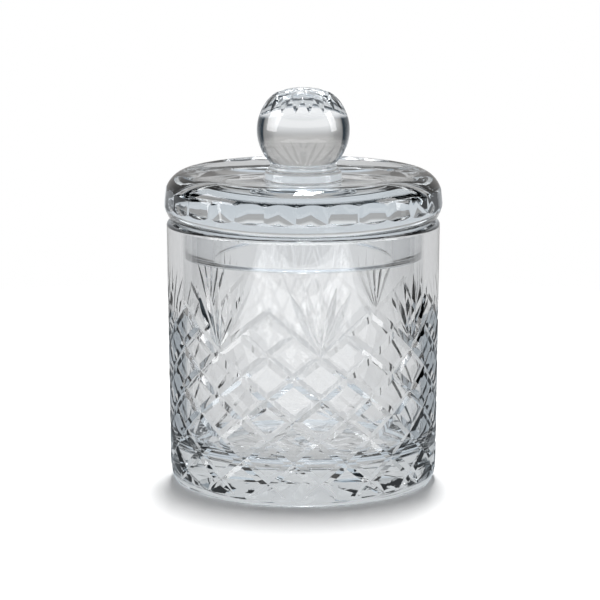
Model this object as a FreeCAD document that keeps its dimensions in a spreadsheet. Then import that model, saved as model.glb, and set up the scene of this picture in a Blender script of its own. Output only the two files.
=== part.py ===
# Cut-glass powder jar with a lift-off lid.
#
# Three pieces of clear glass: the jar, the lid with its hollow plug ring, and the ball knob on its
# collar, which is made from its own gather of glass and joined hot to the lid.
# Millimetres, +Z up. The origin is the middle of the foot, on the surface that the jar stands on,
# and -Y is the front.
import FreeCAD
import Part
import math
import os
import re

import Sketcher

DIMENSIONS = {
    # jar blank
    "rim_radius": 50.0,
    "heel_radius": 49.07,
    "rim_height": 96.6,
    "lip_round": 1.2,
    "bore_radius": 44.5,
    "floor_height": 12.8,
    "corner_round": 9.0,
    "foot_outer": 46.3,
    "foot_inner": 43.0,
    "foot_recess": 0.9,
    "heel_height": 9.0,
    "heel_round": 16.0,
    # star of mitre cuts under the foot
    "star_rays": 16.0,
    "star_top": 2.4,
    "star_half_width": 3.4,
    "star_middle": 19.0,
    "star_wheel": 120.0,
    # fans of leaf cuts round the wall: a leaf's middle is so far along it from the fan's root
    "fan_count": 8.0,
    "fan_turn": 7.2,
    "fan_root": 55.7,
    "leaf_tilt": 13.0,
    "leaf_middle": 14.6,
    "leaf_depth": 0.9,
    "leaf_half_width": 1.5,
    "leaf_wheel": 92.0,
    # lid
    "lid_radius": 51.0,
    "lid_widest": 104.7,
    "seat_outer": 47.6,
    "edge_round": 9.6,
    "shoulder_radius": 42.0,
    "lid_top": 114.4,
    "pad_radius": 17.0,
    "pad_height": 111.6,
    "dish_round": 150.0,
    # flat panels round the lid's edge: the radius is the distance to a panel at its height
    "panel_count": 28.0,
    "panel_turn": 3.6,
    "panel_radius": 50.58,
    "panel_height": 103.2,
    "panel_slope": 0.105,
    "panel_below": 5.0,
    "panel_above": 11.0,
    "panel_width": 16.0,
    # plug ring under the lid
    "plug_radius": 43.6,
    "plug_inner": 32.8,
    "plug_bottom": 84.5,
    "plug_round": 2.4,
    "ceiling_height": 99.6,
    "ceiling_round": 3.0,
    # knob
    "collar_radius": 14.1,
    "collar_round": 1.5,
    "collar_height": 3.8,
    "neck_radius": 12.3,
    "neck_height": 6.7,
    "neck_round": 2.2,
    "ball_radius": 16.96,
    "ball_middle": 129.9,
    "crown_radius": 6.88,
    "crown_height": 145.4,
    "crown_cuts": 18.0,
    "crown_depth": 1.2,
    "crown_half_width": 2.0,
    "crown_sweep": 62.0,
}


def make_sheet(doc):
    """Put every driving dimension in one spreadsheet, each under its own alias."""
    sheet = doc.addObject("Spreadsheet::Sheet", "dims")
    for row, (alias, value) in enumerate(DIMENSIONS.items(), start=1):
        sheet.set(f"A{row}", alias)
        sheet.set(f"B{row}", str(value))
        sheet.setAlias(f"B{row}", alias)
    doc.recompute()
    return sheet


def bound(formula):
    """The formula with each alias read from the sheet."""
    return re.sub(r"[a-z][a-z_]*", lambda word: "dims." + word.group(0), formula)


def bind(thing, prop, formula):
    thing.setExpression(prop, bound(formula))


def plane_of(body, role):
    return next(part for part in body.Origin.OriginFeatures if part.Role == role)


def new_sketch(body, name, role):
    """Empty sketch lying on one of the body's own origin planes."""
    sketch = body.newObject("Sketcher::SketchObject", name)
    sketch.AttachmentSupport = (plane_of(body, role), [""])
    sketch.MapMode = "FlatFace"
    return sketch


def measure(sketch, sheet, kind, elements, formula):
    """Add one driving dimension to a sketch and bind it to the sheet."""
    value = sheet.evalExpression(formula)
    index = sketch.addConstraint(Sketcher.Constraint(kind, *elements, value))
    label = f"size_{index}"
    sketch.renameConstraint(index, label)
    bind(sketch, f"Constraints.{label}", formula)


def pin_corner(sketch, sheet, edge, vertex, across, up):
    """Hold one corner at its place, given as formulas; a zero puts it on that axis."""
    if across == "0":
        sketch.addConstraint(Sketcher.Constraint("PointOnObject", edge, vertex, -2))
    else:
        measure(sketch, sheet, "DistanceX", (-1, 1, edge, vertex), across)
    if up == "0":
        sketch.addConstraint(Sketcher.Constraint("PointOnObject", edge, vertex, -1))
    else:
        measure(sketch, sheet, "DistanceY", (-1, 1, edge, vertex), up)


def arc_between(start, end, radius, left):
    """The short arc of that radius, with its middle to the left or the right of the way along."""
    chord = end - start
    rise = math.sqrt(radius ** 2 - (chord.Length / 2) ** 2)
    side = FreeCAD.Vector(-chord.y, chord.x, 0).normalize() * (rise if left else -rise)
    middle = (start + end) / 2 + side
    first, last = (start, end) if left else (end, start)
    angles = [math.atan2(point.y - middle.y, point.x - middle.x) for point in (first, last)]
    return Part.ArcOfCircle(Part.Circle(middle, FreeCAD.Vector(0, 0, 1), radius), *angles)


def add_outline(sketch, sheet, corners):
    """Closed outline through corners of (across, up, bend).

    bend says how the edge to the next corner runs: None is straight, and a pair of a radius and
    "left" or "right" is an arc with its middle on that side of the way along.
    """
    points = []
    for across, up, _ in corners:
        points.append(FreeCAD.Vector(sheet.evalExpression(across), sheet.evalExpression(up), 0))
    ends = []
    for number, (_, _, bend) in enumerate(corners):
        start = points[number]
        end = points[(number + 1) % len(points)]
        if bend is None:
            edge = sketch.addGeometry(Part.LineSegment(start, end), False)
            ends.append((edge, 1, 2))
            continue
        left = bend[1] == "left"
        arc = arc_between(start, end, sheet.evalExpression(bend[0]), left)
        edge = sketch.addGeometry(arc, False)
        ends.append((edge, 1, 2) if left else (edge, 2, 1))
        measure(sketch, sheet, "Radius", (edge,), bend[0])
    for number, (edge, first, last) in enumerate(ends):
        follower = ends[(number + 1) % len(ends)]
        sketch.addConstraint(Sketcher.Constraint("Coincident", edge, last, follower[0], follower[1]))
        across, up, _ = corners[number]
        pin_corner(sketch, sheet, edge, first, across, up)


def turned_blank(body, sheet, corners):
    """Turn an outline in the XZ plane about the body's upright axis."""
    sketch = new_sketch(body, body.Name + "_outline", "XZ_Plane")
    add_outline(sketch, sheet, corners)
    blank = body.newObject("PartDesign::Revolution", body.Name + "_blank")
    blank.Profile = sketch
    blank.ReferenceAxis = (sketch, ["V_Axis"])
    blank.Angle = 360.0
    return blank


def add_wheel_axis(sketch, sheet, height, upright):
    """Construction line that a cutting wheel turns about, square to the way that it reaches."""
    place = sheet.evalExpression(height)
    ends = [FreeCAD.Vector(-10, place, 0), FreeCAD.Vector(10, place, 0)]
    if upright:
        ends = [FreeCAD.Vector(place, -10, 0), FreeCAD.Vector(place, 10, 0)]
    line = sketch.addGeometry(Part.LineSegment(*ends), True)
    kind, across = ("Vertical", "DistanceX") if upright else ("Horizontal", "DistanceY")
    sketch.addConstraint(Sketcher.Constraint(kind, line))
    measure(sketch, sheet, across, (-1, 1, line, 1), height)


def wheel_cut(body, name, sketch, sweep=None):
    """Cut along the path of the wheel profile in the sketch, all the way round or over a sweep."""
    cut = body.newObject("PartDesign::Groove", name)
    cut.Profile = sketch
    cut.ReferenceAxis = (sketch, ["Axis0"])
    cut.Angle = 360.0
    if sweep:
        bind(cut, "Angle", sweep)
    return cut


def repeat_round(body, name, cuts, count):
    """Repeat cuts evenly about the body's upright axis."""
    pattern = body.newObject("PartDesign::PolarPattern", name)
    pattern.Originals = cuts
    pattern.Axis = (plane_of(body, "Z_Axis"), [""])
    pattern.Angle = 360.0
    bind(pattern, "Occurrences", count)
    body.Tip = pattern
    return pattern


def add_star(body, sheet):
    """Star of straight mitre cuts under the foot, each a shallow arc of a large wheel."""
    sketch = new_sketch(body, "star_profile", "YZ_Plane")
    bind(sketch, "AttachmentOffset.Base.z", "star_middle")
    add_outline(sketch, sheet, [
        ("0", "star_top", None),
        ("-star_half_width", "0", None),
        ("star_half_width", "0", None),
    ])
    add_wheel_axis(sketch, sheet, "star_top - star_wheel", upright=False)
    ray = wheel_cut(body, "star_ray", sketch)
    repeat_round(body, "star", [ray], "star_rays")


def add_leaf(body, sheet, number):
    """One leaf cut in the wall, leaning over by its number of steps from upright."""
    sketch = new_sketch(body, f"leaf_profile_{number + 2}", "XY_Plane")
    lean = f"leaf_tilt * {number}"
    sine = f"sin({number} * dims.leaf_tilt * 1 deg)"
    cosine = f"cos({number} * dims.leaf_tilt * 1 deg)"
    sketch.AttachmentOffset = FreeCAD.Placement(
        FreeCAD.Vector(), FreeCAD.Rotation(FreeCAD.Vector(-1, 0, 0), sheet.evalExpression(lean)))
    sketch.setExpression("AttachmentOffset.Base.y", f"dims.leaf_middle * {sine}")
    sketch.setExpression("AttachmentOffset.Base.z", f"dims.fan_root + dims.leaf_middle * {cosine}")
    add_outline(sketch, sheet, [
        ("rim_radius - leaf_depth", "0", None),
        ("rim_radius + 1", "-leaf_half_width * (1 + 1 / leaf_depth)", None),
        ("rim_radius + 1", "leaf_half_width * (1 + 1 / leaf_depth)", None),
    ])
    add_wheel_axis(sketch, sheet, "rim_radius - leaf_depth + leaf_wheel", upright=True)
    return wheel_cut(body, f"leaf_{number + 2}", sketch)


def add_fans(body, sheet):
    """Fans of leaf cuts that spread upwards from a point on the wall."""
    leaves = [add_leaf(body, sheet, number) for number in range(-2, 3)]
    repeat_round(body, "fans", leaves, "fan_count")


def facing(turn):
    """Placement that turns a body about its upright axis, by an angle from the front."""
    return FreeCAD.Placement(FreeCAD.Vector(), FreeCAD.Rotation(FreeCAD.Vector(0, 0, 1), turn - 90))


def make_jar(doc, sheet):
    body = doc.addObject("PartDesign::Body", "jar")
    turned_blank(body, sheet, [
        ("0", "foot_recess", None),
        ("foot_inner - foot_recess", "foot_recess", None),
        ("foot_inner", "0", None),
        ("foot_outer", "0", ("heel_round", "left")),
        ("heel_radius", "heel_height", None),
        ("rim_radius", "rim_height - lip_round", ("lip_round", "left")),
        ("rim_radius - lip_round", "rim_height", None),
        ("bore_radius + lip_round", "rim_height", ("lip_round", "left")),
        ("bore_radius", "rim_height - lip_round", None),
        ("bore_radius", "floor_height + corner_round", ("corner_round", "right")),
        ("bore_radius - corner_round", "floor_height", None),
        ("0", "floor_height", None),
    ])
    add_star(body, sheet)
    add_fans(body, sheet)
    body.Placement = facing(DIMENSIONS["fan_turn"])
    return body


def add_panels(body, sheet):
    """Flat panels ground round the edge, each leaning inwards towards its top."""
    sketch = new_sketch(body, "panel_profile", "XZ_Plane")
    low, high = "panel_height - panel_below", "panel_height + panel_above"
    add_outline(sketch, sheet, [
        ("panel_radius + panel_below * panel_slope", low, None),
        ("lid_radius + 2", low, None),
        ("lid_radius + 2", high, None),
        ("panel_radius - panel_above * panel_slope", high, None),
    ])
    panel = body.newObject("PartDesign::Pocket", "panel")
    panel.Profile = sketch
    panel.Midplane = True
    bind(panel, "Length", "panel_width")
    repeat_round(body, "panels", [panel], "panel_count")


def make_lid(doc, sheet):
    body = doc.addObject("PartDesign::Body", "lid")
    turned_blank(body, sheet, [
        ("0", "ceiling_height", None),
        ("plug_inner - ceiling_round", "ceiling_height", ("ceiling_round", "right")),
        ("plug_inner", "ceiling_height - ceiling_round", None),
        ("plug_inner", "plug_bottom + plug_round", ("plug_round", "left")),
        ("plug_inner + plug_round", "plug_bottom", None),
        ("plug_radius - plug_round", "plug_bottom", ("plug_round", "left")),
        ("plug_radius", "plug_bottom + plug_round", None),
        ("plug_radius", "rim_height", None),
        ("seat_outer", "rim_height", ("edge_round", "left")),
        ("lid_radius", "lid_widest", ("edge_round", "left")),
        ("shoulder_radius", "lid_top", ("dish_round", "right")),
        ("pad_radius", "pad_height", None),
        ("0", "pad_height", None),
    ])
    add_panels(body, sheet)
    body.Placement = facing(DIMENSIONS["panel_turn"])
    return body


def add_crown(body, sheet):
    """Mitre cuts that run down from the top of the ball."""
    sketch = new_sketch(body, "crown_profile", "YZ_Plane")
    top = "ball_middle + ball_radius"
    spread = "crown_half_width * (1 + 1 / crown_depth)"
    add_outline(sketch, sheet, [
        ("0", f"{top} - crown_depth", None),
        (spread, f"{top} + 1", None),
        (f"-{spread}", f"{top} + 1", None),
    ])
    add_wheel_axis(sketch, sheet, "ball_middle", upright=False)
    cut = wheel_cut(body, "crown_cut", sketch, sweep="crown_sweep")
    repeat_round(body, "crown", [cut], "crown_cuts")


def make_knob(doc, sheet):
    body = doc.addObject("PartDesign::Body", "lid_knob")
    turned_blank(body, sheet, [
        ("0", "pad_height", None),
        ("collar_radius", "pad_height", None),
        ("collar_radius", "pad_height + collar_height - collar_round", ("collar_round", "left")),
        ("collar_radius - collar_round", "pad_height + collar_height", ("neck_round", "right")),
        ("neck_radius", "pad_height + neck_height", ("ball_radius", "left")),
        ("crown_radius", "crown_height", None),
        ("0", "crown_height", None),
    ])
    add_crown(body, sheet)
    return body


def check(doc, bodies):
    """Stop if anything failed to compute or a piece is not one sound solid."""
    for thing in doc.Objects:
        faults = {"Invalid", "Error"} & set(thing.State)
        if faults:
            raise RuntimeError(f"{thing.Name}: {sorted(faults)}")
    for body in bodies:
        shape = body.Shape
        if shape.isNull() or not shape.isValid() or len(shape.Solids) != 1:
            raise RuntimeError(f"{body.Label}: not one sound solid")
        box = shape.BoundBox
        print(f"{body.Label}: {shape.Volume / 1000:.1f} cm3, z {box.ZMin:.2f} to {box.ZMax:.2f}")


def main():
    doc = FreeCAD.newDocument("powder_jar")
    sheet = make_sheet(doc)
    bodies = [make_jar(doc, sheet), make_lid(doc, sheet), make_knob(doc, sheet)]
    doc.recompute()
    check(doc, bodies)
    os.makedirs("parts", exist_ok=True)
    for body in bodies:
        body.Shape.exportStep(f"parts/{body.Label}.step")


main()
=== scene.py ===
import math

import bmesh
import bpy
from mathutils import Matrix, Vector


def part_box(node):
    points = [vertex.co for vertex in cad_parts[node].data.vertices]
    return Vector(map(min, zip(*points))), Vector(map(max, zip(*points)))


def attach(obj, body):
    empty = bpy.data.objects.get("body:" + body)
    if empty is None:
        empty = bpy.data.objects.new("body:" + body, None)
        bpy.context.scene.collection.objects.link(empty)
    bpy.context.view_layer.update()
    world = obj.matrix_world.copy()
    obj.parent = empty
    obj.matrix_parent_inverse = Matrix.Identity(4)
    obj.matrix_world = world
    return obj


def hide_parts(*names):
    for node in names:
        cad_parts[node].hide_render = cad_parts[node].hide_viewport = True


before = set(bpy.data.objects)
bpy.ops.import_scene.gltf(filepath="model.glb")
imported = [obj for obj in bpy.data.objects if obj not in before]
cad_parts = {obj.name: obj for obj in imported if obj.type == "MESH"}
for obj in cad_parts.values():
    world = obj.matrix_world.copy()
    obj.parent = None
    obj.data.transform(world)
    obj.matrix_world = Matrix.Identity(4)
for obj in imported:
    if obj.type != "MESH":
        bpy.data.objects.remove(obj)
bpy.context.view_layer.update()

# Lengths are in metres, and a length written in millimetres is multiplied by MM. The jar stands on
# z = 0 with its axis on z, and -y is the front.
MM = 0.001
SEGMENTS = 360               # faces round a turned piece
ARC_STEP = 5                 # degrees between the points of an arc
SHARP = math.radians(14)     # an edge that turns more than this is a cut edge

# The blanks' main sizes come from the frame.
_, jar_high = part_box("jar")
lid_low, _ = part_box("lid")
knob_low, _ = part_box("lid_knob")
RIM_Z = jar_high.z
RIM_R = jar_high.x
PLUG_Z = lid_low.z
PAD_Z = knob_low.z
LID_R = RIM_R + 1.0 * MM

# Jar
TAPER = 0.93 * MM            # how much narrower the wall is above the heel than at the rim
WALL = 5.5 * MM
BORE_R = RIM_R - WALL
FLOOR_Z = 12.8 * MM
HEEL_Z = 9.0 * MM
HEEL_R = RIM_R - TAPER
FOOT_OUT = 46.3 * MM
FOOT_IN = 43.0 * MM
FOOT_RECESS = 0.9 * MM

# Diamond lattice: rows of crossings, counted up from the bottom
LATTICE_BOTTOM = 8.5 * MM
ROW = 7.68 * MM
STEP = math.radians(11.25)   # turn from one crossing to the next along a line
HEEL_RUN = 0.75              # rows that a line runs on below its last crossing
TOP_RUN = 0.14               # rows that it runs past its topmost crossing
PEAKS = 8
PEAK_ROW = 8
FIRST_PEAK = math.radians(-90 - 15.3)
MITRE_DEPTH = 0.6 * MM
MITRE_HALF_ANGLE = math.radians(73)
CLEAR = 0.15 * MM            # how far a cutter rises clear of the glass at its ends
PROUD = 1.0 * MM             # how far a cutter stands out of the glass along its length


def arc(middle, across, up, first, last):
    """Points (radius, height) of an elliptical arc between two angles in degrees."""
    steps = math.ceil(abs(last - first) / ARC_STEP)
    points = []
    for step in range(steps + 1):
        angle = math.radians(first + (last - first) * step / steps)
        points.append((middle[0] + across * math.cos(angle), middle[1] + up * math.sin(angle)))
    return points


def link(mesh, name):
    piece = bpy.data.objects.new(name, mesh)
    bpy.context.scene.collection.objects.link(piece)
    return piece


def to_piece(bm, name, material):
    mesh = bpy.data.meshes.new(name)
    bm.to_mesh(mesh)
    bm.free()
    mesh.materials.append(material)
    return link(mesh, name)


def closed_piece(bm, name, material):
    """Piece from a closed bmesh, with its faces turned outward."""
    bmesh.ops.recalc_face_normals(bm, faces=bm.faces)
    return to_piece(bm, name, material)


def disc(name, radius, height, segments, material):
    """Flat round sheet that lies at a height."""
    bm = bmesh.new()
    bmesh.ops.create_circle(bm, cap_ends=True, radius=radius, segments=segments)
    piece = to_piece(bm, name, material)
    piece.location.z = height
    return piece


def ring(bm, radius, height, count, turn=0.0):
    """Points spaced evenly round the axis. On the axis they are all one point."""
    if radius < 1e-9:
        return [bm.verts.new((0, 0, height))] * count
    points = []
    for number in range(count):
        angle = turn + 2 * math.pi * number / count
        points.append(bm.verts.new((radius * math.cos(angle), radius * math.sin(angle), height)))
    return points


def bridge(bm, low, high):
    """Faces between two rings of the same count."""
    for number in range(len(low)):
        after = (number + 1) % len(low)
        corners = [low[number], low[after], high[after], high[number]]
        bm.faces.new(list(dict.fromkeys(corners)))


def revolve(name, outline, material):
    """Closed solid of revolution from an outline that starts and ends on the axis."""
    bm = bmesh.new()
    rings = [ring(bm, radius, height, SEGMENTS) for radius, height in outline]
    for low, high in zip(rings, rings[1:]):
        bridge(bm, low, high)
    return closed_piece(bm, name, material)


def wall_point(angle, height):
    """Point on the wall or the rounded heel below it, and the outward normal there."""
    radius = HEEL_R + TAPER * (height - HEEL_Z) / (RIM_Z - HEEL_Z)
    rise = 0.0
    if height < HEEL_Z:
        drop = (HEEL_Z - height) / HEEL_Z
        level = math.sqrt(1 - drop ** 2)
        radius = FOOT_OUT + (HEEL_R - FOOT_OUT) * level
        rise = -drop * (HEEL_R - FOOT_OUT) / (level * HEEL_Z)
    across = Vector((math.cos(angle), math.sin(angle), 0))
    return across * radius + Vector((0, 0, height)), (across + Vector((0, 0, rise))).normalized()


def add_groove(bm, points, normals, depths, half_angle):
    """One closed V-shaped cutter along the points, its tip below the surface by each depth."""
    sections = []
    for number, point in enumerate(points):
        before = points[max(number - 1, 0)]
        after = points[min(number + 1, len(points) - 1)]
        along = (after - before).normalized()
        outward = normals[number]
        side = outward.cross(along).normalized()
        spread = side * (depths[number] + PROUD) * math.tan(half_angle)
        top = point + outward * PROUD
        tip = point - outward * depths[number]
        sections.append([bm.verts.new(tip), bm.verts.new(top + spread), bm.verts.new(top - spread)])
    for low, high in zip(sections, sections[1:]):
        for first, second in ((0, 1), (1, 2), (2, 0)):
            bm.faces.new([low[first], low[second], high[second], high[first]])
    bm.faces.new(sections[0][::-1])
    bm.faces.new(sections[-1])


def cutter(name, grooves, material):
    """Object that holds several cutters: each is (points, normals, depths, half angle)."""
    bm = bmesh.new()
    for groove in grooves:
        add_groove(bm, *groove)
    return closed_piece(bm, name, material)


def cut(piece, tool):
    """Take the tool out of the piece and throw the tool away."""
    step = piece.modifiers.new("cut", "BOOLEAN")
    step.operation = "DIFFERENCE"
    step.solver = "MANIFOLD"
    step.object = tool
    step.material_mode = "TRANSFER"
    graph = bpy.context.evaluated_depsgraph_get()
    mesh = bpy.data.meshes.new_from_object(piece.evaluated_get(graph))
    piece.modifiers.clear()
    before = piece.data
    piece.data = mesh
    bpy.data.meshes.remove(before)
    bpy.data.meshes.remove(tool.data)


def lifted(distance, run):
    """Depth of a mitre at a distance from its end, where it fades out over a run."""
    share = min(distance / run, 1.0)
    return -CLEAR + (MITRE_DEPTH + CLEAR) * math.sin(share * math.pi / 2)


def lattice_line(start_angle, top_row, lean):
    """Mitre that falls from a crossing in the top row to the heel, leaning left or right."""
    rows = top_row + HEEL_RUN
    row_length = math.hypot(ROW, STEP * RIM_R)
    steps = 60
    points, normals, depths = [], [], []
    for step in range(steps + 1):
        fallen = -TOP_RUN + (rows + TOP_RUN) * step / steps
        angle = start_angle + lean * STEP * fallen
        height = LATTICE_BOTTOM + ROW * (top_row - fallen)
        point, outward = wall_point(angle, height)
        points.append(point)
        normals.append(outward)
        run_in = lifted((fallen + TOP_RUN) * row_length, TOP_RUN * row_length)
        run_out = lifted((rows - fallen) * row_length, HEEL_RUN * row_length)
        depths.append(min(run_in, run_out))
    return points, normals, depths, MITRE_HALF_ANGLE


def lattice_lines(lean):
    """The sixteen mitres that lean one way: two from each peak of the zigzag."""
    lines = []
    for peak in range(PEAKS):
        angle = FIRST_PEAK + 2 * math.pi * peak / PEAKS
        lines.append(lattice_line(angle, PEAK_ROW, lean))
        lines.append(lattice_line(angle - lean * STEP, PEAK_ROW - 1, lean))
    return lines


# Leaf fans: one stands in each valley of the zigzag
FAN_Z = LATTICE_BOTTOM + ROW * (PEAK_ROW - 2) + 1.2 * MM
LEAVES = (-2, 2, -1, 1, 0)   # in the order of cutting, with the middle leaf last
LEAF_TILT = math.radians(13.2)
LEAF_HALF_ANGLE = math.radians(71)
LEAF_DEPTH = 0.6 * MM
LEAF_SKEW = 0.85             # puts the deepest place nearer the root than the tip
LEAF_LENGTH = 27.0 * MM
MIDDLE_LEAF_LENGTH = 28.5 * MM


def leaf(fan, number):
    """Leaf cut that rises from a fan's root, pointed at both ends. Leaf 0 stands upright."""
    root = FIRST_PEAK + 2 * STEP + 2 * math.pi * fan / PEAKS
    tilt = LEAF_TILT * number
    length = LEAF_LENGTH if number else MIDDLE_LEAF_LENGTH
    points, normals, depths = [], [], []
    steps = 20
    for step in range(steps + 1):
        share = step / steps
        run = length * share
        height = FAN_Z + run * math.cos(tilt)
        angle = root + run * math.sin(tilt) / RIM_R
        point, outward = wall_point(angle, height)
        points.append(point)
        normals.append(outward)
        depths.append(-CLEAR + (LEAF_DEPTH + CLEAR) * math.sin(math.pi * share ** LEAF_SKEW))
    return points, normals, depths, LEAF_HALF_ANGLE


# Star under the foot
STAR_CUTS = 8                # straight across, so twice as many rays
STAR_R = 39.0 * MM
STAR_DEPTH = 1.5 * MM


def star_line(number):
    """Mitre right across the underside of the foot."""
    angle = math.pi * number / STAR_CUTS
    way = Vector((math.cos(angle), math.sin(angle), 0))
    points, normals, depths = [], [], []
    steps = 24
    for step in range(steps + 1):
        run = STAR_R * (2 * step / steps - 1)
        points.append(way * run + Vector((0, 0, FOOT_RECESS)))
        normals.append(Vector((0, 0, -1)))
        depths.append(-CLEAR + (STAR_DEPTH + CLEAR) * (1 - (run / STAR_R) ** 2))
    return points, normals, depths, MITRE_HALF_ANGLE


def finish_surface(piece):
    """Smooth shading that breaks at cut edges."""
    bm = bmesh.new()
    bm.from_mesh(piece.data)
    bmesh.ops.dissolve_degenerate(bm, dist=1e-7, edges=bm.edges)
    for edge in bm.edges:
        edge.smooth = len(edge.link_faces) == 2 and edge.calc_face_angle(0) < SHARP
    for face in bm.faces:
        face.smooth = True
    bm.to_mesh(piece.data)
    bm.free()


def wall_normals(piece):
    """Give the plain outer wall its true normals, so that long thin faces don't show."""
    mesh = piece.data
    slope = math.atan2(TAPER, RIM_Z - HEEL_Z)
    tilt_slack = 0.003
    least_outward = 0.9995
    normals = [(0, 0, 0)] * len(mesh.loops)
    for face in mesh.polygons:
        middle = face.center
        radius = math.hypot(middle.x, middle.y)
        if radius < RIM_R - 2 * TAPER:
            continue
        outward = Vector((middle.x, middle.y, 0)) / radius
        tilted = abs(face.normal.z + math.sin(slope)) >= tilt_slack
        if tilted or face.normal.dot(outward) <= least_outward:
            continue
        for corner in face.loop_indices:
            point = mesh.vertices[mesh.loops[corner].vertex_index].co
            flat = Vector((point.x, point.y, 0)).normalized() * math.cos(slope)
            normals[corner] = (flat.x, flat.y, -math.sin(slope))
    mesh.normals_split_custom_set(normals)


def noise_bump(nodes, links, place, scale, detail, distance):
    """Bump node of a given height, driven by noise."""
    noise = nodes.new("ShaderNodeTexNoise")
    noise.inputs["Scale"].default_value = scale
    noise.inputs["Detail"].default_value = detail
    links.new(place.outputs["Object"], noise.inputs["Vector"])
    bump = nodes.new("ShaderNodeBump")
    bump.inputs["Distance"].default_value = distance
    links.new(noise.outputs["Fac"], bump.inputs["Height"])
    return bump


def crystal():
    """Clear crystal, faintly blue-grey in depth. The wheel leaves its cuts a little less smooth."""
    material = bpy.data.materials.new("crystal")
    material.use_nodes = True
    nodes = material.node_tree.nodes
    links = material.node_tree.links
    shader = nodes["Principled BSDF"]
    shader.inputs["Base Color"].default_value = (0.985, 0.99, 0.995, 1)
    shader.inputs["Transmission Weight"].default_value = 1.0
    shader.inputs["IOR"].default_value = 1.545
    depth = nodes.new("ShaderNodeVolumeAbsorption")
    depth.inputs["Color"].default_value = (0.10, 0.40, 0.55, 1)
    depth.inputs["Density"].default_value = 1.0
    links.new(depth.outputs["Volume"], nodes["Material Output"].inputs["Volume"])

    mark = nodes.new("ShaderNodeAttribute")
    mark.attribute_name = WHEEL_CUT
    rough = nodes.new("ShaderNodeMapRange")
    rough.inputs["To Max"].default_value = 0.02
    links.new(mark.outputs["Fac"], rough.inputs["Value"])
    links.new(rough.outputs["Result"], shader.inputs["Roughness"])
    place = nodes.new("ShaderNodeTexCoord")
    ripple = noise_bump(nodes, links, place, 60.0, 2.0, 0.004 * MM)
    grind = noise_bump(nodes, links, place, 260.0, 3.0, 0.006 * MM)
    links.new(mark.outputs["Fac"], grind.inputs["Strength"])
    links.new(ripple.outputs["Normal"], grind.inputs["Normal"])
    links.new(grind.outputs["Normal"], shader.inputs["Normal"])
    return material


WHEEL_CUT = "wheel_cut"
glass = crystal()
wheel = bpy.data.materials.new(WHEEL_CUT)


def mark_cuts(piece):
    """Mark the faces that the wheel has cut, and leave the piece with one material."""
    mesh = piece.data
    number = mesh.materials.find(WHEEL_CUT)
    marks = mesh.attributes.new(WHEEL_CUT, "FLOAT", "FACE")
    for face, mark in zip(mesh.polygons, marks.data):
        mark.value = float(face.material_index == number)
    for face in mesh.polygons:
        face.material_index = 0
    mesh.materials.pop(index=number)


def jar_outline():
    """Outline of the jar blank, from the underside out, up the wall and down the bore."""
    edge = 0.5 * MM
    lip = 1.2 * MM
    corner = 9.0 * MM
    points = [(0, FOOT_RECESS), (FOOT_IN - FOOT_RECESS, FOOT_RECESS), (FOOT_IN, 0)]
    points.append((FOOT_OUT - edge, 0))
    points += arc((FOOT_OUT - edge, edge), edge, edge, -90, -20)[1:]
    heel = arc((FOOT_OUT, HEEL_Z), HEEL_R - FOOT_OUT, HEEL_Z, -70, 0)
    points += [point for point in heel if point[1] > edge]
    points += arc((RIM_R - lip, RIM_Z - lip), lip, lip, 0, 90)
    points += arc((BORE_R + lip, RIM_Z - lip), lip, lip, 90, 180)
    points += arc((BORE_R - corner, FLOOR_Z + corner), corner, corner, 0, -90)
    points.append((0, FLOOR_Z))
    return points


def make_jar():
    jar = revolve("cut_jar", jar_outline(), glass)
    cut(jar, cutter("lattice_right", lattice_lines(1), wheel))
    cut(jar, cutter("lattice_left", lattice_lines(-1), wheel))
    for number in LEAVES:
        cut(jar, cutter("leaves", [leaf(fan, number) for fan in range(PEAKS)], wheel))
    for number in range(STAR_CUTS):
        cut(jar, cutter("star", [star_line(number)], wheel))
    mark_cuts(jar)
    finish_surface(jar)
    wall_normals(jar)
    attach(jar, "jar")
    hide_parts("jar")


# Lid and knob
SEAT_GAP = 0.05 * MM
EDGE_Z = 104.7 * MM
EDGE_ACROSS = 8.7 * MM
EDGE_UP = 10.1 * MM
PLUG_R = 43.6 * MM
PLUG_IN = 32.8 * MM
PLUG_ROUND = 0.8 * MM
CEILING = 99.6 * MM
HOLLOW_ROUND = 3.0 * MM
DISH_R = 17.0 * MM           # the dished top runs in to here, and is flat from here to the collar
BALL_R = 16.96 * MM
BALL_Z = 129.9 * MM
COLLAR_R = 14.1 * MM
COLLAR_TOP = PAD_Z + 3.8 * MM
NECK_R = 12.3 * MM
NECK_Z = 118.3 * MM


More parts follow.
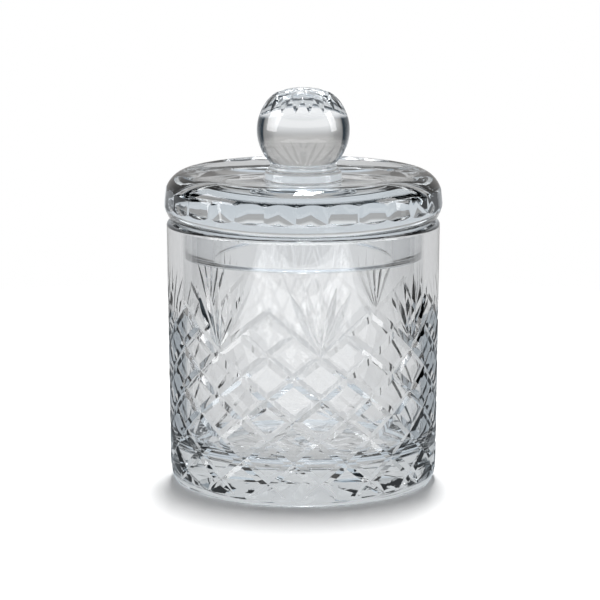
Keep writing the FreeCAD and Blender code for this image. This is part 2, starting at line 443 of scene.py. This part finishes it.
def lid_outline():
    """Outline of lid and knob in one, from the hollow out, over the top and up the ball."""
    seat = RIM_Z + SEAT_GAP
    points = [(0, CEILING)]
    centre = (PLUG_IN - HOLLOW_ROUND, CEILING - HOLLOW_ROUND)
    points += arc(centre, HOLLOW_ROUND, HOLLOW_ROUND, 90, 0)
    points += arc((PLUG_IN + PLUG_ROUND, PLUG_Z + PLUG_ROUND), PLUG_ROUND, PLUG_ROUND, 180, 270)
    points += arc((PLUG_R - PLUG_ROUND, PLUG_Z + PLUG_ROUND), PLUG_ROUND, PLUG_ROUND, 270, 360)
    points.append((PLUG_R, seat))
    start = math.degrees(math.asin((EDGE_Z - seat) / EDGE_UP))
    points += arc((LID_R - EDGE_ACROSS, EDGE_Z), EDGE_ACROSS, EDGE_UP, -start, 88)
    outer_r, outer_z = points[-1]
    steps = 10
    for step in range(1, steps + 1):
        share = step / steps
        sag = math.sin(share * math.pi / 2)
        across = outer_r + (DISH_R - outer_r) * share
        points.append((across, outer_z + (PAD_Z - outer_z) * sag))
    fillet = 1.0 * MM
    points += arc((COLLAR_R + fillet, PAD_Z + fillet), fillet, fillet, -90, -180)
    bead = 1.5 * MM
    points += arc((COLLAR_R - bead, COLLAR_TOP - bead), bead, bead, 0, 80)
    cove = 1.6 * MM
    low = math.degrees(math.asin((BALL_Z - NECK_Z) / BALL_R))
    points += arc((NECK_R + cove, COLLAR_TOP + cove), cove, cove, 250, 190)
    points += arc((0, BALL_Z), BALL_R, BALL_R, -low, 90)[:-1]
    points.append((0, BALL_Z + BALL_R))
    return points


# Flat panels round the lid's edge
PANELS = 28
PANEL_TURN = math.radians(-90 - 2.8)
PANEL_LOW_Z = 103.2 * MM     # on the line where two panels meet, with PANEL_LOW_R
PANEL_LOW_R = LID_R - 0.1 * MM
PANEL_LEAN = math.radians(6)
PANEL_BELOW = 5 * MM
PANEL_ABOVE = 11 * MM


def edge_panels():
    """Ring whose inside is a leaning polygon: it takes the flat panels off the lid's edge."""
    inside = []
    for height in (PANEL_LOW_Z - PANEL_BELOW, PANEL_LOW_Z + PANEL_ABOVE):
        lean = (height - PANEL_LOW_Z) * math.tan(PANEL_LEAN)
        inside.append((PANEL_LOW_R - lean, height))
    outer_r = LID_R + 5 * MM
    outside = [(outer_r, height) for _, height in reversed(inside)]
    bm = bmesh.new()
    rings = [ring(bm, radius, height, PANELS, PANEL_TURN) for radius, height in inside + outside]
    for low, high in zip(rings, rings[1:] + rings[:1]):
        bridge(bm, low, high)
    return closed_piece(bm, "edge_panels", wheel)


# Crown: mitres that radiate from the top of the ball
CROWN_CUTS = 18
CROWN_TURN = math.radians(-90 + 8.7)
CROWN_HALF_ANGLE = math.radians(68)
CROWN_LOSS = 1.45 * MM       # how far the top lies inside the ball, falling to none at CROWN_FULL
CROWN_FULL = math.radians(40)
CROWN_SWEEP = math.radians(66)   # where the mitres end, from the top of the ball


def crown_cut(number):
    """Mitre that runs from the top of the ball down its side and fades out to a point."""
    pitch = 2 * math.pi / CROWN_CUTS
    turn = CROWN_TURN + pitch * number
    way = Vector((math.cos(turn), math.sin(turn), 0))
    points, normals, depths = [], [], []
    first = math.radians(-4)
    steps = 30
    for step in range(steps + 1):
        angle = first + (CROWN_SWEEP - first) * step / steps
        outward = way * math.sin(angle) + Vector((0, 0, math.cos(angle)))
        points.append(outward * BALL_R + Vector((0, 0, BALL_Z)))
        normals.append(outward)
        spread = BALL_R * math.sin(min(abs(angle), CROWN_FULL)) * pitch / 2
        loss = CROWN_LOSS * math.cos(min(abs(angle) / CROWN_FULL, 1) * math.pi / 2)
        full = loss + spread / math.tan(CROWN_HALF_ANGLE)
        share = min((CROWN_SWEEP - angle) / (CROWN_SWEEP - CROWN_FULL), 1)
        depths.append(-CLEAR + (full + CLEAR) * math.sin(share * math.pi / 2))
    return points, normals, depths, CROWN_HALF_ANGLE


def make_lid():
    lid = revolve("lid_and_knob", lid_outline(), glass)
    cut(lid, edge_panels())
    for number in range(CROWN_CUTS):
        cut(lid, cutter("crown", [crown_cut(number)], wheel))
    mark_cuts(lid)
    finish_surface(lid)
    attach(lid, "lid")
    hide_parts("lid", "lid_knob")


# Studio. Glass shows what stands round it, so most of this is made to be seen through the glass.
FLOOR_R = 0.44
FLOOR_GAP = 0.05 * MM        # how far the floor lies below the foot
FLOOR_TONE = 0.93            # as the camera sees it
FLOOR_TONE_IN_GLASS = 0.66   # as the glass and the bounced light see it


def grey(level, warm=0.0):
    return (level * (1 + warm), level, level * (1 - warm))


def floor_material():
    """Pale matt floor that fades out before its edge."""
    material = bpy.data.materials.new("pale_floor")
    material.use_nodes = True
    nodes = material.node_tree.nodes
    links = material.node_tree.links
    shader = nodes["Principled BSDF"]
    path = nodes.new("ShaderNodeLightPath")
    tone = nodes.new("ShaderNodeMix")
    tone.data_type = "RGBA"
    tone.inputs["A"].default_value = (*grey(FLOOR_TONE_IN_GLASS), 1)
    tone.inputs["B"].default_value = (*grey(FLOOR_TONE), 1)
    links.new(path.outputs["Is Camera Ray"], tone.inputs["Factor"])
    links.new(tone.outputs["Result"], shader.inputs["Base Color"])
    shader.inputs["Roughness"].default_value = 0.9
    shader.inputs["Specular IOR Level"].default_value = 0.1
    place = nodes.new("ShaderNodeTexCoord")
    distance = nodes.new("ShaderNodeVectorMath")
    distance.operation = "LENGTH"
    fade = nodes.new("ShaderNodeMapRange")
    fade.interpolation_type = "SMOOTHSTEP"
    fade.inputs["From Min"].default_value = FLOOR_R * 0.7
    fade.inputs["From Max"].default_value = FLOOR_R * 0.98
    clear = nodes.new("ShaderNodeBsdfTransparent")
    mix = nodes.new("ShaderNodeMixShader")
    links.new(place.outputs["Object"], distance.inputs[0])
    links.new(distance.outputs["Value"], fade.inputs["Value"])
    links.new(fade.outputs["Result"], mix.inputs["Fac"])
    links.new(shader.outputs["BSDF"], mix.inputs[1])
    links.new(clear.outputs["BSDF"], mix.inputs[2])
    links.new(mix.outputs["Shader"], nodes["Material Output"].inputs["Surface"])
    return material


def make_floor():
    floor = disc("floor", FLOOR_R, -FLOOR_GAP, 96, floor_material())


# Cards: a half angle counts from straight behind the jar
CARD_R = 52.5 * MM
CARD_TALL = 95 * MM
CARD_HALF_ANGLE = math.radians(78)
SIDE_CARD_R = 54.5 * MM
SIDE_CARD_TALL = 62 * MM
SIDE_CARD_HALF_ANGLE = math.radians(112)
LOW_CARD_R = 56 * MM
LOW_CARD_TALL = 32 * MM
RIM_CARD_R = 58 * MM
RIM_CARD_LOW = 95 * MM
RIM_CARD_HIGH = 108 * MM
WIDE_HALF_ANGLE = math.radians(130)
BASE_CARD_R = 80 * MM
FOOT_CARD_R = 38 * MM
PALE = (0.80, 0.88, 0.95)


def glow(name, colour, strength):
    """Matt black material that glows evenly."""
    material = bpy.data.materials.new(name)
    material.use_nodes = True
    shader = material.node_tree.nodes["Principled BSDF"]
    shader.inputs["Base Color"].default_value = (0, 0, 0, 1)
    shader.inputs["Roughness"].default_value = 1.0
    shader.inputs["Emission Color"].default_value = (*colour, 1)
    shader.inputs["Emission Strength"].default_value = strength
    return material


def hidden_stage(piece):
    """The glass shows this stage piece; the camera, the floor and the lamps don't meet it."""
    piece.visible_camera = False
    piece.visible_shadow = False
    piece.visible_diffuse = False


def curved_card(name, radius, low, high, half_angle, material):
    """Upright card that curves round the back of the jar, and on round its sides if it is wide."""
    steps = 48
    corners = []
    faces = []
    for step in range(steps + 1):
        angle = math.pi / 2 + half_angle * (2 * step / steps - 1)
        across, behind = radius * math.cos(angle), radius * math.sin(angle)
        corners += [(across, behind, low), (across, behind, high)]
        if step:
            last = 2 * step
            faces.append((last - 2, last - 1, last + 1, last))
    mesh = bpy.data.meshes.new(name)
    mesh.from_pydata(corners, [], faces)
    mesh.materials.append(material)
    hidden_stage(link(mesh, name))


def flat_card(name, radius, height, material):
    """Round card lying under the foot."""
    hidden_stage(disc(name, radius, height, 64, material))


def make_cards():
    """Cards behind and beside the jar, round its heel and the lid's edge, and under the foot."""
    white = glow("white_card", (0.97, 0.975, 0.98), 0.65)
    pale = glow("pale_card", PALE, 0.70)
    soft = glow("soft_card", PALE, 0.40)
    rim = glow("rim_card", (0.90, 0.94, 0.98), 0.68)
    base = glow("base_card", PALE, 0.68)
    foot = glow("foot_card", (0.87, 0.88, 0.88), 0.52)
    curved_card("card", CARD_R, 0, CARD_TALL, CARD_HALF_ANGLE, white)
    curved_card("low_card", LOW_CARD_R, 0, LOW_CARD_TALL, WIDE_HALF_ANGLE, pale)
    curved_card("side_card", SIDE_CARD_R, 0, SIDE_CARD_TALL, SIDE_CARD_HALF_ANGLE, soft)
    curved_card("mouth_card", SIDE_CARD_R, SIDE_CARD_TALL, CARD_TALL, SIDE_CARD_HALF_ANGLE, white)
    curved_card("rim_card", RIM_CARD_R, RIM_CARD_LOW, RIM_CARD_HIGH, WIDE_HALF_ANGLE, rim)
    flat_card("base_card", BASE_CARD_R, -FLOOR_GAP / 2, base)
    flat_card("foot_card", FOOT_CARD_R, -FLOOR_GAP / 4, foot)


REFLECTOR_NEAR = 0.17
REFLECTOR_FAR = 0.43
REFLECTOR_HALF_WIDTH = 0.3
REFLECTOR_GLOW = 2.6


def make_reflector():
    """Bright panel lying in front, out of the picture, for the wall to mirror."""
    across, near, far = REFLECTOR_HALF_WIDTH, -REFLECTOR_NEAR, -REFLECTOR_FAR
    corners = [(across, near, 0), (-across, near, 0), (-across, far, 0), (across, far, 0)]
    mesh = bpy.data.meshes.new("reflector")
    mesh.from_pydata(corners, [], [(0, 1, 2, 3)])
    mesh.materials.append(glow("reflector", grey(1), REFLECTOR_GLOW))
    hidden_stage(link(mesh, "reflector"))


# Studio walls, as stops round the jar: degrees from straight behind it, and what is there
FRONT_WALL = (0.30, 0.38, 0.46)
DARK_GAP = (0.014, 0.018, 0.022)
BACKDROP_EDGE = grey(0.27, 0.03)
BACKDROP_SIDE = grey(0.31, 0.02)
BACKDROP_MIDDLE = grey(0.43, 0.02)
WALLS = [
    (-180, FRONT_WALL), (-104, FRONT_WALL),
    (-99, DARK_GAP), (-50, DARK_GAP),
    (-47, BACKDROP_EDGE), (-36, BACKDROP_SIDE), (-22, BACKDROP_MIDDLE),
    (26, BACKDROP_MIDDLE), (38, BACKDROP_SIDE), (49, BACKDROP_EDGE),
    (52, DARK_GAP), (99, DARK_GAP),
    (104, FRONT_WALL),
]
# Where the table curves up to meet the backdrop and the front wall
SWEEP = [
    (-180, grey(1)), (-102, grey(1)), (-99, grey(0)), (-48, grey(0)), (-24, grey(1)),
    (24, grey(1)), (48, grey(0)), (99, grey(0)), (102, grey(1)),
]
LOW_WALL = (0.15, 0.21, 0.27)
TABLE = grey(0.85)
CEILING_TONE = (0.72, 0.80, 0.88)
FRONT_LIGHT = grey(1.8)
BOUNCED = grey(0.2)          # what the bounced light on the floor sees
# Degrees above level, from where a thing starts to show to where it shows in full
LOW_WALL_FADE = (-16, -24)
SWEEP_FADE = (0, -12)
TABLE_FADE = (-20, -30)
CEILING_FADE = (46, 54)
FRONT_LIGHT_FOOT = (10, 13)
FRONT_LIGHT_HEAD = (32, 27)
FRONT_LIGHT_SIDE = (101, 105)    # degrees round from straight behind the jar


def combine(tree, operation, *sources):
    """Result of a math node that is fed by sockets."""
    node = tree.nodes.new("ShaderNodeMath")
    node.operation = operation
    for source, socket in zip(sources, node.inputs):
        tree.links.new(source, socket)
    return node.outputs[0]


def share_between(tree, angle, first, last, interpolation="SMOOTHSTEP"):
    """Share that goes from 0 to 1 as an angle goes from the first to the last, in degrees."""
    node = tree.nodes.new("ShaderNodeMapRange")
    node.interpolation_type = interpolation
    node.inputs["From Min"].default_value = math.radians(first)
    node.inputs["From Max"].default_value = math.radians(last)
    tree.links.new(angle, node.inputs["Value"])
    return node.outputs["Result"]


def ramp(tree, share, stops):
    """Colour round the jar, from stops in degrees."""
    node = tree.nodes.new("ShaderNodeValToRGB")
    elements = node.color_ramp.elements
    while len(elements) > 1:
        elements.remove(elements[0])
    (position, colour), *others = [((degrees + 180) / 360, colour) for degrees, colour in stops]
    elements[0].position = position
    elements[0].color = (*colour, 1)
    for position, colour in others:
        elements.new(position).color = (*colour, 1)
    tree.links.new(share, node.inputs["Fac"])
    return node.outputs["Color"]


def blend(tree, share, first, second):
    """Mix of a colour socket and a fixed colour."""
    node = tree.nodes.new("ShaderNodeMix")
    node.data_type = "RGBA"
    tree.links.new(share, node.inputs["Factor"])
    tree.links.new(first, node.inputs["A"])
    node.inputs["B"].default_value = (*second, 1)
    return node.outputs["Result"]


def make_world():
    """Studio that the glass sees: table, backdrop, dark gaps at the sides, ceiling, front light."""
    world = bpy.data.worlds.new("studio")
    bpy.context.scene.world = world
    world.use_nodes = True
    tree = world.node_tree
    place = tree.nodes.new("ShaderNodeTexCoord")
    split = tree.nodes.new("ShaderNodeSeparateXYZ")
    tree.links.new(place.outputs["Generated"], split.inputs[0])
    turn = combine(tree, "ARCTAN2", split.outputs["X"], split.outputs["Y"])
    height = combine(tree, "ARCSINE", split.outputs["Z"])
    round_share = share_between(tree, turn, -180, 180, "LINEAR")

    colour = ramp(tree, round_share, WALLS)
    colour = blend(tree, share_between(tree, height, *LOW_WALL_FADE), colour, LOW_WALL)
    sweep = ramp(tree, round_share, SWEEP)
    sweep = combine(tree, "MULTIPLY", share_between(tree, height, *SWEEP_FADE), sweep)
    table = combine(tree, "MAXIMUM", sweep, share_between(tree, height, *TABLE_FADE))
    colour = blend(tree, table, colour, TABLE)
    colour = blend(tree, share_between(tree, height, *CEILING_FADE), colour, CEILING_TONE)

    above = share_between(tree, height, *FRONT_LIGHT_FOOT)
    below = share_between(tree, height, *FRONT_LIGHT_HEAD)
    away = combine(tree, "ABSOLUTE", turn)
    ahead = share_between(tree, away, *FRONT_LIGHT_SIDE, "LINEAR")
    front = combine(tree, "MULTIPLY", combine(tree, "MULTIPLY", above, below), ahead)
    colour = blend(tree, front, colour, FRONT_LIGHT)

    path = tree.nodes.new("ShaderNodeLightPath")
    colour = blend(tree, path.outputs["Is Diffuse Ray"], colour, BOUNCED)
    colour = blend(tree, path.outputs["Is Camera Ray"], colour, grey(1))
    tree.links.new(colour, tree.nodes["Background"].inputs["Color"])


def softbox(name, place, target, size, radiance, key=False):
    """Lamp that shows in gloss. Only the key also lights the floor and shines through glass."""
    light = bpy.data.lights.new(name, "AREA")
    light.shape = "RECTANGLE"
    light.size, light.size_y = size
    light.energy = radiance * math.pi * size[0] * size[1]
    lamp = bpy.data.objects.new(name, light)
    lamp.location = place
    lamp.rotation_euler = (Vector(target) - Vector(place)).to_track_quat("-Z", "Y").to_euler()
    lamp.visible_camera = False
    lamp.visible_diffuse = key
    lamp.visible_transmission = key
    bpy.context.scene.collection.objects.link(lamp)


KNOB = (0, 0, BALL_Z)
LOW_DOWN = (0, 0, 0.04)       # on the axis, in the lower half of the jar
SOFTBOX_RADIANCE = 5
KEY_RADIANCE = 66


def make_lamps():
    softbox("softbox_left", (-0.85, -0.06, 0.42), KNOB, (0.6, 0.68), SOFTBOX_RADIANCE)
    softbox("softbox_right", (0.88, -0.14, 0.42), KNOB, (0.32, 0.66), SOFTBOX_RADIANCE)
    softbox("key", (0.04, 0.5, 2.4), LOW_DOWN, (0.33, 1.05), KEY_RADIANCE, key=True)


CAMERA_PLACE = (-0.0012, -1.2, 0.2841)
CAMERA_DIP = 10.26           # degrees below level


def make_camera():
    camera = bpy.data.cameras.new("camera")
    camera.lens = 198.9
    camera.sensor_width = 36
    camera.clip_start = 0.01
    eye = bpy.data.objects.new("camera", camera)
    eye.location = CAMERA_PLACE
    eye.rotation_euler = (math.radians(90 - CAMERA_DIP), 0, 0)
    bpy.context.scene.collection.objects.link(eye)
    bpy.context.scene.camera = eye


make_jar()
make_lid()
make_floor()
make_cards()
make_reflector()
make_world()
make_lamps()
make_camera()
bpy.context.scene.view_settings.view_transform = "Standard"
